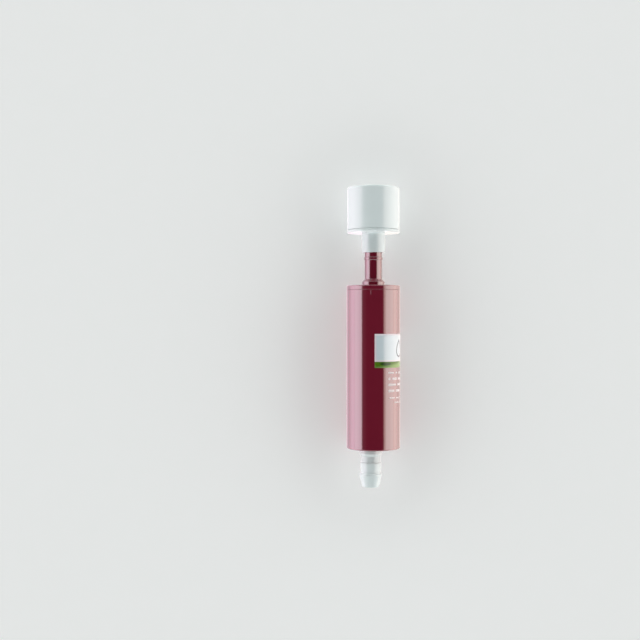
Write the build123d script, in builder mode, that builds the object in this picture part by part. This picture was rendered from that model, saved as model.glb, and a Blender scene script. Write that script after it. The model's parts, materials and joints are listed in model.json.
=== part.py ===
from build123d import *
from math import cos, radians, sin
import os

# Slim in-line electric pump. It lies along X with the push-on inlet filter at +X and the outlet tail
# at -X, and rests on its casing. Lengths are in millimetres.
os.makedirs("parts", exist_ok=True)

# Casing and inlet cap
casing_diameter = 38.0
casing_wall = 2.0
body_length = 115.5  # casing and cap rim together
outlet_wall = 4.0  # end wall round the outlet
outlet_rim_round = 1.0
seam_edge = 0.3
cap_rim_length = 3.2
cap_wall = 3.6
cap_rim_round = 0.9
cap_spigot_wall = 2.6
inlet_boss_radius = 8.1
inlet_boss_length = 4.4
inlet_tail_radius = 6.2
inlet_tail_bore = 4.5
inlet_tail_exposed = 23.2  # from the cap's face to the filter's sleeve
inlet_tail_insert = 11.5  # inside the filter's sleeve
tail_chamfer = 1.0
inlet_bead_height = 0.4
inlet_bead_length = 2.4
inlet_bead_place = 19.0  # from the cap's face
impeller_eye = 5.8
eye_flare_length = 7.0

# Outlet tail, a hose tail with two ridges, set off the pump's axis to leave room for the cable
outlet_tail_length = 26.5
outlet_tail_bore = 4.6
outlet_offset_y = 2.1
outlet_offset_z = 4.6
outlet_collar_radius = 7.8
outlet_collar_length = 4.6
outlet_collar_taper = 1.4
outlet_neck_radius = 6.8
outlet_tip_radius = 6.0
outlet_ridge_land = 1.4
outlet_inner_ridge_radius = 7.3
outlet_inner_ridge_place = 10.6  # from the casing's end face
outlet_end_ridge_place = 18.4
outlet_spigot_radius = 6.4
outlet_spigot_reach = 2.0  # past the end wall, into the outlet chamber

# Cable entry
stem_offset = 10.5  # below the pump's axis
stem_radius = 4.4
stem_wall = 1.1
stem_shoulder = 0.9
stem_shoulder_length = 3.0
stem_proud = 0.6
stem_socket_wall = 1.2
stem_socket_length = 2.6  # behind the pod's end wall
gland_flange_radius = 4.2
gland_flange_length = 1.8
gland_flange_taper = 0.6
gland_depth = 8.0
cable_radius = 2.6

# Motor pod, the sealed canister that the water flows round
water_gap = 1.9
pod_wall = 1.2
pod_rear_wall = 2.0
pod_dome_round = 5.0
pod_ledge = 1.0
wiring_space = 13.0
rib_width = 1.6
rib_count = 4
rib_end_slope = 3.0
rib_front_gap = 4.0
rib_length = 58.0

# Impeller and the guide vanes behind it
impeller_tip_gap = 1.15  # between the impeller and the cap's spigot
impeller_face_gap = 0.6
impeller_back_gap = 0.8
impeller_plate = 1.4
vane_height = 4.2
vane_thickness = 1.1
impeller_vanes = 6
vane_sweep = 68.0  # degrees from a vane's root to its tip
vane_hook = 0.38  # share of the sweep reached half way out
vane_root_gap = 1.6  # between the hub and a vane's root
impeller_hub_radius = 3.4
impeller_hub_length = 7.0
nose_length = 9.0
nose_front_step = 1.6  # nose's front edge inside the impeller's rim
nose_wall = 2.4
guide_vanes = 9
guide_vane_thickness = 1.2
guide_vane_lean = 4.4  # sideways reach of a vane's front edge
guide_vane_bend = 0.3  # share of the lean left half way back
cover_spigot_length = 4.6
shaft_seal_radius = 4.6
shaft_seal_length = 3.6
shaft_seal_lip = 0.8

# Motor
can_gap = 0.1  # between the can and the pod
can_wall = 1.0
can_length = 52.0
can_boss_radius = 5.0
can_boss_length = 2.2
can_edge_round = 1.0
vent_length = 4.0
vent_width = 2.0
magnet_thickness = 1.9
magnet_angle = 136.0
magnet_length = 40.0
air_gap = 0.5
core_poles = 5
tooth_width = 2.6
pole_shoe = 1.5
slot_mouth = 1.6
core_hub = 4.6
coil_end = 3.2
coil_arc = 67.0
end_play = 0.15
winding_gap = 0.15
shaft_radius = 1.15
shaft_chamfer = 0.25
commutator_radius = 3.5
commutator_length = 7.0
commutator_slit = 0.4
commutator_slit_depth = 0.9
bush_radius = 3.2
bush_length = 4.6
bush_wall = 1.2
washer_radius = 2.4
washer_length = 1.0
end_bell_thickness = 3.4
end_bell_spigot = 3.0
brush_width = 2.2
brush_height = 3.4
brush_length = 4.2
brush_arm_thickness = 0.4
brush_arm_height = 3.0
terminal_length = 4.0
lead_radius = 0.6
lead_sides = 8
lead_bend = 3.2
lead_start = 1.0  # from the end bell

# Filter
filter_step = 0.6  # filter's side inside the casing's
filter_length = 32.2
filter_wall = 1.5
filter_end_wall = 1.8
filter_edge_round = 1.4
filter_lip = 0.3
filter_lip_length = 1.9
filter_base_thickness = 2.2
filter_spigot_length = 4.6
filter_neck_radius = 8.1
filter_neck_length = 14.0
filter_neck_round = 1.0
filter_stop_gap = 0.3
slot_width = 1.3
slot_inner_radius = 5.0
slot_middle_radius = 9.6
slot_outer_radius = 15.0
outer_slots = 30
inner_slots = 15
slot_bridge = 1.4
screen_thickness = 1.0
screen_pitch = 3.0
screen_bar = 0.9
screen_rim = 1.6

# Seals and clearances
ring_section = 1.3  # square-cut rings in the cap's spigot and the pod's cover
outlet_ring_section = 1.0  # rings round the outlet spigot and the stem
seat_gap = 0.02  # between a rubber or pressed piece and its seat
press = 0.01  # rotor's pieces on the shaft
fit = 0.05  # between rigid pieces that plug together
running_fit = 0.04  # shaft in its bushes
shaft_clearance = 0.16  # shaft in the can's and the cover's holes
sliding_fit = 0.08  # filter's sleeve on the inlet tail
brush_fit = 0.06
round_steps = 3  # straight steps in a turned piece's round

# Radii, from the axis outwards
casing_radius = casing_diameter / 2
casing_bore = casing_radius - casing_wall
pod_radius = casing_bore - water_gap
pod_bore = pod_radius - pod_wall
can_radius = pod_bore - can_gap
can_bore = can_radius - can_wall
magnet_bore = can_bore - magnet_thickness
core_radius = magnet_bore - air_gap
spigot_radius = casing_bore - fit
spigot_bore = spigot_radius - cap_spigot_wall
impeller_radius = spigot_bore - impeller_tip_gap
nose_front_radius = impeller_radius - nose_front_step
filter_radius = casing_radius - filter_step
filter_bore = filter_radius - filter_wall
sleeve_bore = inlet_tail_radius + sliding_fit
axis_height = casing_radius

# Stations along X, counted from the middle of the overall length
overall_length = outlet_tail_length + body_length + inlet_tail_exposed + filter_neck_length + filter_length
x_outlet_tip = -overall_length / 2
x_outlet_face = x_outlet_tip + outlet_tail_length
x_chamber = x_outlet_face + outlet_wall
x_inlet_face = x_outlet_face + body_length
x_seam = x_inlet_face - cap_rim_length
x_cap_inner = x_inlet_face - cap_wall
x_vane_front = x_cap_inner - impeller_face_gap
x_plate_front = x_vane_front - vane_height
x_plate_back = x_plate_front - impeller_plate
x_nose_front = x_plate_back - impeller_back_gap
x_pod_front = x_nose_front - nose_length
x_can_front = x_pod_front - cover_spigot_length
x_can_rear = x_can_front - can_length
x_bell_rear = x_can_rear - end_bell_thickness
x_pod_rear = x_bell_rear - wiring_space - pod_rear_wall
x_neck_end = x_inlet_face + inlet_tail_exposed
x_tail_end = x_neck_end + inlet_tail_insert
x_filter_base = x_neck_end + filter_neck_length
x_base_inner = x_filter_base + filter_base_thickness
x_filter_end = x_filter_base + filter_length
x_screen = x_filter_end - filter_end_wall - screen_thickness
x_can_middle = (x_can_front + x_can_rear) / 2
x_front_bush = x_can_front + can_boss_length - can_wall / 2 - bush_length
x_rear_bush = x_bell_rear + bush_wall
x_washer = x_rear_bush + bush_length + end_play
x_commutator = x_washer + washer_length
x_core_rear = x_commutator + commutator_length + winding_gap + coil_end
x_core_front = x_front_bush - end_play - washer_length - coil_end
core_length = x_core_front - x_core_rear
x_brush = x_commutator + commutator_length / 2

pump_centre = (0, 0)
outlet_centre = (outlet_offset_y, outlet_offset_z)
stem_centre = (0, -stem_offset)


def across(x, centre=pump_centre, angle=0.0):
    """Plane square to the pump's axis at x: its x runs along +Y, turned by angle towards +Z."""
    sideways = (0, cos(radians(angle)), sin(radians(angle)))
    return Plane(origin=(x, centre[0], axis_height + centre[1]), x_dir=sideways, z_dir=(1, 0, 0))


def lengthwise(centre=pump_centre, angle=90.0):
    """Plane that holds an axis along X: its y points away from the axis, angle degrees round from +Y."""
    outwards = (0, -sin(radians(angle)), cos(radians(angle)))
    return Plane(origin=(0, centre[0], axis_height + centre[1]), x_dir=(1, 0, 0), z_dir=outwards)


def axis_at(centre=pump_centre):
    """Axis along X through a centre given as (y, z) from the pump's axis."""
    return Axis((0, centre[0], axis_height + centre[1]), (1, 0, 0))


def half_section(points, centre=pump_centre):
    """Face to be revolved: a closed outline of (x, radius) points."""
    with BuildSketch(lengthwise(centre)) as section:
        with BuildLine():
            Polyline(*points, close=True)
        make_face()
    return section.sketch


def rounded(x_from, r_from, x_to, r_to, steps=round_steps):
    """Points of an outward round from an end face at (x_from, r_from) to a side at (x_to, r_to)."""
    turns = [radians(90 * step / steps) for step in range(steps + 1)]
    return [(x_to + (x_from - x_to) * cos(t), r_from + (r_to - r_from) * sin(t)) for t in turns]


def ring(x_from, x_to, inner, outer, centre=pump_centre):
    """Half section of a plain ring."""
    return half_section([(x_from, inner), (x_to, inner), (x_to, outer), (x_from, outer)], centre)


def seal(x, inner, outer, centre=pump_centre):
    """Half section of a square-cut sealing ring that fills the space between two radii at x."""
    half = (outer - inner) / 2 - seat_gap
    return ring(x - half, x + half, inner + seat_gap, outer - seat_gap, centre)


def sector(x, inner, outer, arc, angle):
    """Face of a ring sector square to the axis at x, its middle turned by angle from +Z."""
    half = radians(arc / 2)
    with BuildSketch(across(x, angle=angle)) as section:
        with BuildLine():
            left_in = (-inner * sin(half), inner * cos(half))
            left_out = (-outer * sin(half), outer * cos(half))
            right_in = (inner * sin(half), inner * cos(half))
            right_out = (outer * sin(half), outer * cos(half))
            ThreePointArc(left_in, (0, inner), right_in)
            Line(right_in, right_out)
            ThreePointArc(right_out, (0, outer), left_out)
            Line(left_out, left_in)
        make_face()
    return section.sketch


def finish(part, name):
    """Label a finished piece and write its file."""
    part.part.label = name
    export_step(part.part, f"parts/{name}.step")


# Casing: one moulding, closed at the outlet end, where the tail and the cable stem come through
port_radius = outlet_spigot_radius + fit
port_ring_radius = outlet_spigot_radius + outlet_ring_section
stem_hole = stem_radius + fit
stem_ring_radius = stem_radius + outlet_ring_section
with BuildPart() as outer_casing:
    revolve(
        half_section(
            [
                (x_outlet_face, 0),
                *rounded(
                    x_outlet_face, casing_radius - outlet_rim_round,
                    x_outlet_face + outlet_rim_round, casing_radius,
                ),
                (x_seam - seam_edge, casing_radius),
                (x_seam, casing_radius - seam_edge),
                (x_seam, casing_bore),
                (x_chamber, casing_bore),
                (x_chamber, 0),
            ]
        ),
        axis=axis_at(),
    )
    with BuildSketch(across(x_outlet_face)):
        with Locations(outlet_centre):
            Circle(port_radius)
        with Locations(stem_centre):
            Circle(stem_hole)
    extrude(amount=outlet_wall, mode=Mode.SUBTRACT)
    with BuildSketch(across(x_outlet_face)):
        with Locations(outlet_centre):
            Circle(port_ring_radius)
    extrude(amount=outlet_ring_section, mode=Mode.SUBTRACT)
    with BuildSketch(across(x_chamber)):
        with Locations(stem_centre):
            Circle(stem_ring_radius)
    extrude(amount=-outlet_ring_section, mode=Mode.SUBTRACT)
finish(outer_casing, "outer_casing")

# Inlet cap: rim, spigot with a ring groove, flared boss and hose tail
groove_floor = spigot_radius - ring_section
groove_half = ring_section / 2 + fit
x_ring = (x_seam + x_nose_front) / 2
x_boss = x_inlet_face + inlet_boss_length
x_bead = x_inlet_face + inlet_bead_place
with BuildPart() as inlet_cap:
    revolve(
        half_section(
            [
                (x_tail_end, inlet_tail_bore),
                (x_cap_inner + eye_flare_length, inlet_tail_bore),
                (x_cap_inner, impeller_eye),
                (x_cap_inner, spigot_bore),
                (x_nose_front, spigot_bore),
                (x_nose_front, spigot_radius),
                (x_ring - groove_half, spigot_radius),
                (x_ring - groove_half, groove_floor),
                (x_ring + groove_half, groove_floor),
                (x_ring + groove_half, spigot_radius),
                (x_seam, spigot_radius),
                (x_seam, casing_radius - seam_edge),
                (x_seam + seam_edge, casing_radius),
                *reversed(
                    rounded(
                        x_inlet_face, casing_radius - cap_rim_round,
                        x_inlet_face - cap_rim_round, casing_radius,
                    )
                ),
                (x_inlet_face, inlet_boss_radius),
                (x_boss - inlet_boss_radius + inlet_tail_radius, inlet_boss_radius),
                (x_boss, inlet_tail_radius),
                (x_bead - inlet_bead_length / 2, inlet_tail_radius),
                (x_bead - inlet_bead_length / 4, inlet_tail_radius + inlet_bead_height),
                (x_bead + inlet_bead_length / 4, inlet_tail_radius + inlet_bead_height),
                (x_bead + inlet_bead_length / 2, inlet_tail_radius),
                (x_tail_end - tail_chamfer, inlet_tail_radius),
                (x_tail_end, inlet_tail_radius - tail_chamfer),
            ]
        ),
        axis=axis_at(),
    )
finish(inlet_cap, "inlet_cap")

with BuildPart() as inlet_cap_seal:
    revolve(seal(x_ring, groove_floor, casing_bore), axis=axis_at())
finish(inlet_cap_seal, "inlet_cap_seal")

# Outlet tail: tapered collar, neck and two ridges, each with a slope towards the tip and a sharp back
x_collar = x_outlet_face - outlet_collar_length
x_inner_ridge = x_outlet_face - outlet_inner_ridge_place
x_end_ridge = x_outlet_face - outlet_end_ridge_place
tip_round = outlet_tip_radius - outlet_tail_bore
with BuildPart() as outlet_tail:
    revolve(
        half_section(
            [
                (x_chamber + outlet_spigot_reach, outlet_tail_bore),
                (x_chamber + outlet_spigot_reach, outlet_spigot_radius),
                (x_outlet_face, outlet_spigot_radius),
                (x_outlet_face, outlet_collar_radius),
                (x_collar + outlet_collar_taper, outlet_collar_radius),
                (x_collar, outlet_neck_radius),
                (x_inner_ridge + outlet_ridge_land, outlet_neck_radius),
                (x_inner_ridge + outlet_ridge_land, outlet_inner_ridge_radius),
                (x_inner_ridge, outlet_inner_ridge_radius),
                (x_end_ridge + 2 * outlet_ridge_land, outlet_neck_radius),
                (x_end_ridge + outlet_ridge_land, outlet_neck_radius),
                (x_end_ridge + outlet_ridge_land, outlet_collar_radius),
                (x_end_ridge, outlet_collar_radius),
                *reversed(
                    rounded(x_outlet_tip, outlet_tail_bore, x_outlet_tip + tip_round, outlet_tip_radius)
                ),
            ],
            outlet_centre,
        ),
        axis=axis_at(outlet_centre),
    )
finish(outlet_tail, "outlet_tail")

with BuildPart() as outlet_tail_seal:
    revolve(
        seal(x_outlet_face + outlet_ring_section / 2, outlet_spigot_radius, port_ring_radius, outlet_centre),
        axis=axis_at(outlet_centre),
    )
finish(outlet_tail_seal, "outlet_tail_seal")

# Motor pod: sealed canister with a domed rear end, four ribs and a socket for the cable's stem
stem_bore = stem_radius - stem_wall
x_stem_end = x_outlet_face - stem_proud
x_dome_inside = x_pod_rear + pod_rear_wall
x_dome_end = x_dome_inside + pod_dome_round
x_socket = x_pod_rear - stem_socket_length
x_rib_front = x_pod_front - rib_front_gap
with BuildPart() as motor_pod:
    revolve(
        half_section(
            [
                (x_pod_rear, 0),
                *rounded(x_pod_rear, pod_radius - pod_dome_round, x_pod_rear + pod_dome_round, pod_radius),
                (x_pod_front, pod_radius),
                (x_pod_front, 0),
            ]
        ),
        axis=axis_at(),
    )
    for rib in range(rib_count):
        with BuildSketch(lengthwise(angle=(rib + 0.5) * 360 / rib_count)):
            with BuildLine():
                Polyline(
                    (x_rib_front, pod_radius - pod_wall / 2),
                    (x_rib_front - rib_end_slope, casing_bore - fit),
                    (x_rib_front - rib_length + rib_end_slope, casing_bore - fit),
                    (x_rib_front - rib_length, pod_radius - pod_wall / 2),
                    close=True,
                )
            make_face()
        extrude(amount=rib_width / 2, both=True)
    with BuildSketch(across(x_socket)):
        with Locations(stem_centre):
            Circle(stem_hole + stem_socket_wall)
    extrude(amount=x_dome_end - x_socket)
    revolve(
        half_section(
            [
                (x_dome_inside, 0),
                (x_dome_inside, pod_bore - pod_dome_round + pod_rear_wall),
                (x_dome_end, pod_bore - pod_ledge),
                (x_bell_rear, pod_bore - pod_ledge),
                (x_bell_rear, pod_bore),
                (x_pod_front, pod_bore),
                (x_pod_front, 0),
            ]
        ),
        axis=axis_at(),
        mode=Mode.SUBTRACT,
    )
    for radius, x_floor in ((stem_hole, x_dome_inside), (stem_bore, x_dome_end)):
        with BuildSketch(across(x_socket)):
            with Locations(stem_centre):
                Circle(radius)
        extrude(amount=x_floor - x_socket, mode=Mode.SUBTRACT)
finish(motor_pod, "motor_pod")

# Cable stem: tube from the pod's socket through the casing's end, with a shoulder inside the end wall
shoulder_radius = stem_ring_radius + stem_shoulder
with BuildPart() as cable_stem:
    revolve(
        half_section(
            [
                (x_stem_end, stem_bore),
                (x_dome_inside, stem_bore),
                (x_dome_inside, stem_radius),
                (x_chamber + stem_shoulder_length, stem_radius),
                (x_chamber + stem_shoulder_length, shoulder_radius),
                (x_chamber, shoulder_radius),
                (x_chamber, stem_radius),
                (x_stem_end, stem_radius),
            ],
            stem_centre,
        ),
        axis=axis_at(stem_centre),
    )
finish(cable_stem, "cable_stem")

with BuildPart() as stem_seal:
    revolve(
        seal(x_chamber - outlet_ring_section / 2, stem_radius, stem_ring_radius, stem_centre),
        axis=axis_at(stem_centre),
    )
finish(stem_seal, "stem_seal")

# Cable gland: rubber bush with a flange against the stem's end
with BuildPart() as cable_gland:
    revolve(
        half_section(
            [
                (x_stem_end - gland_flange_length, cable_radius),
                (x_stem_end + gland_depth, cable_radius),
                (x_stem_end + gland_depth, stem_bore - seat_gap),
                (x_stem_end, stem_bore - seat_gap),
                (x_stem_end, gland_flange_radius),
                (x_stem_end - gland_flange_length, gland_flange_radius - gland_flange_taper),
            ],
            stem_centre,
        ),
        axis=axis_at(stem_centre),
    )
finish(cable_gland, "cable_gland")

# Pod cover: streamlined nose with guide vanes that turn the impeller's swirl along the pump
x_boss_seat = x_can_front + can_boss_length + fit
x_seal_seat = x_nose_front - shaft_seal_length
x_cover_ring = x_pod_front - cover_spigot_length / 2
cover_radius = pod_bore - fit
cover_groove_floor = cover_radius - ring_section
shaft_hole = shaft_radius + shaft_clearance
half_vane = guide_vane_thickness / 2
with BuildPart() as pod_cover:
    for vane in range(guide_vanes):
        outwards = lengthwise(angle=vane * 360 / guide_vanes).y_dir
        with BuildSketch(Plane(origin=(0, 0, axis_height), x_dir=(1, 0, 0), z_dir=outwards)):
            with BuildLine():
                for face in (-half_vane, half_vane):
                    ThreePointArc(
                        (x_nose_front, guide_vane_lean + face),
                        (x_nose_front - nose_length / 2, guide_vane_lean * guide_vane_bend + face),
                        (x_pod_front, face),
                    )
                Line((x_nose_front, guide_vane_lean - half_vane), (x_nose_front, guide_vane_lean + half_vane))
                Line((x_pod_front, -half_vane), (x_pod_front, half_vane))
            make_face()
        extrude(amount=casing_bore)
    vane_space = ring(x_pod_front, x_nose_front, nose_front_radius - nose_wall, spigot_radius)
    revolve(vane_space, axis=axis_at(), mode=Mode.INTERSECT)
    revolve(
        half_section(
            [
                (x_nose_front, shaft_hole),
                *rounded(x_nose_front, nose_front_radius, x_pod_front, pod_radius),
                (x_pod_front, cover_radius),
                (x_cover_ring + groove_half, cover_radius),
                (x_cover_ring + groove_half, cover_groove_floor),
                (x_cover_ring - groove_half, cover_groove_floor),
                (x_cover_ring - groove_half, cover_radius),
                (x_can_front, cover_radius),
                (x_can_front, can_boss_radius + fit),
                (x_boss_seat, can_boss_radius + fit),
                (x_boss_seat, shaft_hole),
            ]
        ),
        axis=axis_at(),
    )
    revolve(ring(x_seal_seat, x_nose_front, 0, shaft_seal_radius), axis=axis_at(), mode=Mode.SUBTRACT)
finish(pod_cover, "pod_cover")

with BuildPart() as pod_cover_seal:
    revolve(seal(x_cover_ring, cover_groove_floor, pod_bore), axis=axis_at())
finish(pod_cover_seal, "pod_cover_seal")

# Shaft seal: rubber cup whose lip runs on the shaft
with BuildPart() as shaft_seal:
    revolve(
        half_section(
            [
                (x_seal_seat, shaft_radius + running_fit),
                (x_seal_seat + shaft_seal_lip, shaft_radius + running_fit),
                (x_seal_seat + 2 * shaft_seal_lip, shaft_radius + shaft_seal_lip),
                (x_nose_front - shaft_seal_lip, shaft_seal_radius - 2 * shaft_seal_lip),
                (x_nose_front, shaft_seal_radius - shaft_seal_lip),
                (x_nose_front, shaft_seal_radius - seat_gap),
                (x_seal_seat, shaft_seal_radius - seat_gap),
            ]
        ),
        axis=axis_at(),
    )
finish(shaft_seal, "shaft_seal")

# Motor can: drawn steel cup with a boss for the front bush and two vent windows
vent_place = (can_boss_radius + magnet_bore) / 2
x_bush_seat = x_can_front + can_boss_length - can_wall / 2
with BuildPart() as motor_can:
    revolve(
        half_section(
            [
                (x_can_rear, can_bore),
                (x_can_rear, can_radius),
                (x_can_front - can_edge_round, can_radius),
                (x_can_front, can_radius - can_edge_round),
                (x_can_front, can_boss_radius),
                (x_can_front + can_boss_length, can_boss_radius),
                (x_can_front + can_boss_length, shaft_hole),
                (x_bush_seat, shaft_hole),
                (x_bush_seat, bush_radius + seat_gap),
                (x_can_front - can_wall, bush_radius + seat_gap),
                (x_can_front - can_wall, can_bore),
            ]
        ),
        axis=axis_at(),
    )
    with BuildSketch(across(x_can_front - can_wall)):
        with PolarLocations(vent_place, 2):
            SlotOverall(vent_length, vent_width, rotation=90)
    extrude(amount=can_wall, mode=Mode.SUBTRACT)
finish(motor_can, "motor_can")

for name, angle in (("upper_magnet", 0), ("lower_magnet", 180)):
    with BuildPart() as magnet:
        x_magnet = x_can_middle - magnet_length / 2
        extrude(sector(x_magnet, magnet_bore, can_bore - seat_gap, magnet_angle, angle), amount=magnet_length)
    finish(magnet, name)

# End bell: closes the can, carries the rear bush, and guides the brushes
brush_reach = commutator_radius + brush_fit
arm_place = brush_reach + brush_length
with BuildPart() as motor_end_bell:
    revolve(
        half_section(
            [
                (x_bell_rear, 0),
                (x_bell_rear, can_radius),
                (x_can_rear, can_radius),
                (x_can_rear, can_bore - fit),
                (x_can_rear + end_bell_spigot, can_bore - fit),
                (x_can_rear + end_bell_spigot, can_bore - bush_wall),
                (x_can_rear, can_bore - bush_wall),
                (x_can_rear, bush_radius + bush_wall),
                (x_rear_bush + bush_length, bush_radius + bush_wall),
                (x_rear_bush + bush_length, bush_radius + seat_gap),
                (x_rear_bush, bush_radius + seat_gap),
                (x_rear_bush, 0),
            ]
        ),
        axis=axis_at(),
    )
    with BuildSketch(across(x_bell_rear)):
        with Locations((arm_place + brush_arm_thickness / 2, 0), (-arm_place - brush_arm_thickness / 2, 0)):
            Rectangle(brush_arm_thickness + 2 * fit, brush_arm_height + 2 * fit)
    extrude(amount=end_bell_thickness, mode=Mode.SUBTRACT)
finish(motor_end_bell, "motor_end_bell")

for name, x_bush in (("front_bush", x_front_bush), ("rear_bush", x_rear_bush)):
    with BuildPart() as bush:
        revolve(ring(x_bush, x_bush + bush_length, shaft_radius + running_fit, bush_radius), axis=axis_at())
    finish(bush, name)

# Brushes: carbon blocks hollowed to the commutator, each on a flat spring arm that is also its terminal
for side, name in ((1, "positive"), (-1, "negative")):
    with BuildPart() as brush:
        with BuildSketch(across(x_brush - brush_height / 2)):
            with Locations((side * arm_place / 2, 0)):
                Rectangle(arm_place, brush_width)
            Circle(brush_reach, mode=Mode.SUBTRACT)
        extrude(amount=brush_height)
    finish(brush, f"{name}_brush")
    with BuildPart() as arm:
        with BuildSketch(across(x_bell_rear - terminal_length)):
            with Locations((side * (arm_place + brush_arm_thickness / 2), 0)):
                Rectangle(brush_arm_thickness, brush_arm_height)
        extrude(amount=x_brush + brush_height / 2 - x_bell_rear + terminal_length)
    finish(arm, f"{name}_brush_arm")

# Leads: from the terminals through the pod's rear end into the stem
x_terminal = x_bell_rear - terminal_length
for side, name in ((1, "positive"), (-1, "negative")):
    lead_y = side * (arm_place + brush_arm_thickness + lead_radius)
    stem_y = side * (lead_radius + fit)
    lead_z = axis_height
    stem_z = axis_height - stem_offset
    with BuildPart() as lead:
        with BuildLine() as route:
            FilletPolyline(
                (x_bell_rear - lead_start, lead_y, lead_z),
                (x_terminal - lead_bend, lead_y, lead_z),
                (x_dome_inside + lead_bend, stem_y, stem_z),
                (x_stem_end + gland_depth, stem_y, stem_z),
                radius=lead_bend,
            )
        with BuildSketch(Plane(origin=route.line @ 0, z_dir=route.line % 0)):
            RegularPolygon(lead_radius, lead_sides)
        sweep(path=route.line)
    finish(lead, f"{name}_lead")

# Rotor: shaft, laminated core with its windings, commutator, spacer washers and impeller
x_shaft_rear = x_rear_bush + fit
x_shaft_front = x_plate_back + impeller_hub_length
with BuildPart() as motor_shaft:
    revolve(ring(x_shaft_rear, x_shaft_front, 0, shaft_radius), axis=axis_at())
    chamfer(motor_shaft.edges().group_by(Axis.X)[-1], shaft_chamfer)
finish(motor_shaft, "motor_shaft")

# The core's first pole points up; its slots open half a step further round
pole_step = 360 / core_poles
first_pole = 90
with BuildPart() as armature_core:
    with BuildSketch(across(x_core_rear)):
        Circle(core_radius)
        Circle(core_radius - pole_shoe, mode=Mode.SUBTRACT)
        with PolarLocations(core_radius, core_poles, start_angle=first_pole + pole_step / 2):
            Rectangle(4 * pole_shoe, slot_mouth, mode=Mode.SUBTRACT)
        with PolarLocations(core_radius / 2, core_poles, start_angle=first_pole):
            Rectangle(core_radius - pole_shoe / 2, tooth_width)
        Circle(core_hub)
        Circle(shaft_radius + press, mode=Mode.SUBTRACT)
    extrude(amount=core_length)
finish(armature_core, "armature_core")

coil_radius = core_radius - pole_shoe - winding_gap
with BuildPart() as armature_windings:
    for pole in range(core_poles):
        x_coil = x_core_rear - coil_end
        coil_face = sector(x_coil, core_hub + winding_gap, coil_radius, coil_arc, pole * pole_step)
        extrude(coil_face, amount=core_length + 2 * coil_end)
    with BuildSketch(across(x_core_rear - winding_gap)):
        with PolarLocations(core_radius / 2, core_poles, start_angle=first_pole):
            Rectangle(core_radius, tooth_width + 2 * winding_gap)
    extrude(amount=core_length + 2 * winding_gap, mode=Mode.SUBTRACT)
finish(armature_windings, "armature_windings")

with BuildPart() as commutator:
    with BuildSketch(across(x_commutator)):
        Circle(commutator_radius)
        Circle(shaft_radius + press, mode=Mode.SUBTRACT)
        with PolarLocations(commutator_radius, core_poles, start_angle=first_pole + pole_step / 2):
            Rectangle(2 * commutator_slit_depth, commutator_slit, mode=Mode.SUBTRACT)
    extrude(amount=commutator_length)
    revolve(
        ring(x_commutator + commutator_length, x_core_rear, shaft_radius + press, core_hub), axis=axis_at()
    )
finish(commutator, "commutator")

with BuildPart() as shaft_spacer:
    revolve(ring(x_core_front, x_front_bush - end_play, shaft_radius + press, washer_radius), axis=axis_at())
finish(shaft_spacer, "shaft_spacer")

with BuildPart() as thrust_washer:
    revolve(ring(x_washer, x_commutator, shaft_radius + press, washer_radius), axis=axis_at())
finish(thrust_washer, "thrust_washer")

# Impeller: open wheel of swept-back vanes on a thin plate, pressed on the shaft
vane_root = impeller_hub_radius + vane_root_gap
vane_tip = impeller_radius - vane_thickness / 2 - fit
with BuildPart() as impeller:
    revolve(ring(x_plate_back, x_plate_front, shaft_radius + press, impeller_radius), axis=axis_at())
    with BuildSketch(across(x_plate_back)):
        Circle(impeller_hub_radius)
        Circle(shaft_radius + press, mode=Mode.SUBTRACT)
    extrude(amount=impeller_hub_length)
    for vane in range(impeller_vanes):
        start = vane * 360 / impeller_vanes
        with BuildSketch(across(x_plate_front)):
            root = Vector(vane_root, 0).rotate(Axis.Z, start)
            middle = Vector((vane_root + vane_tip) / 2, 0).rotate(Axis.Z, start + vane_sweep * vane_hook)
            tip = Vector(vane_tip, 0).rotate(Axis.Z, start + vane_sweep)
            SlotArc(ThreePointArc(root, middle, tip, mode=Mode.PRIVATE), vane_thickness)
        extrude(amount=vane_height)
finish(impeller, "impeller")

# Filter base: sleeve that pushes on the inlet tail, and the disc that closes the cup
x_stop = x_tail_end + filter_stop_gap
with BuildPart() as filter_base:
    revolve(
        half_section(
            [
                (x_neck_end, sleeve_bore),
                (x_stop, sleeve_bore),
                (x_stop, inlet_tail_bore),
                (x_base_inner, inlet_tail_bore),
                (x_base_inner, filter_bore - fit - filter_wall),
                (x_filter_base + filter_spigot_length, filter_bore - fit - filter_wall),
                (x_filter_base + filter_spigot_length, filter_bore - fit),
                (x_filter_base + filter_lip_length, filter_bore - fit),
                (x_filter_base + filter_lip_length, filter_radius + filter_lip),
                (x_filter_base, filter_radius + filter_lip),
                (x_filter_base, filter_neck_radius + filter_neck_round),
                (x_filter_base - filter_neck_round, filter_neck_radius),
                (x_neck_end, filter_neck_radius),
            ]
        ),
        axis=axis_at(),
    )
finish(filter_base, "filter_base")

# Filter cup: plain side and a slotted end
with BuildPart() as filter_cup:
    revolve(
        half_section(
            [
                (x_filter_base + filter_lip_length, filter_bore),
                (x_filter_end - filter_end_wall, filter_bore),
                (x_filter_end - filter_end_wall, 0),
                (x_filter_end, 0),
                *rounded(
                    x_filter_end, filter_radius - filter_edge_round,
                    x_filter_end - filter_edge_round, filter_radius,
                ),
                (x_filter_base + filter_lip_length, filter_radius),
            ]
        ),
        axis=axis_at(),
    )
    with BuildSketch(across(x_filter_end - filter_end_wall)):
        with PolarLocations((slot_outer_radius + slot_middle_radius + slot_bridge) / 2, outer_slots):
            Rectangle(slot_outer_radius - slot_middle_radius - slot_bridge, slot_width)
        with PolarLocations((slot_middle_radius + slot_inner_radius) / 2, inner_slots):
            Rectangle(slot_middle_radius - slot_inner_radius, slot_width)
    extrude(amount=filter_end_wall, mode=Mode.SUBTRACT)
finish(filter_cup, "filter_cup")

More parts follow.
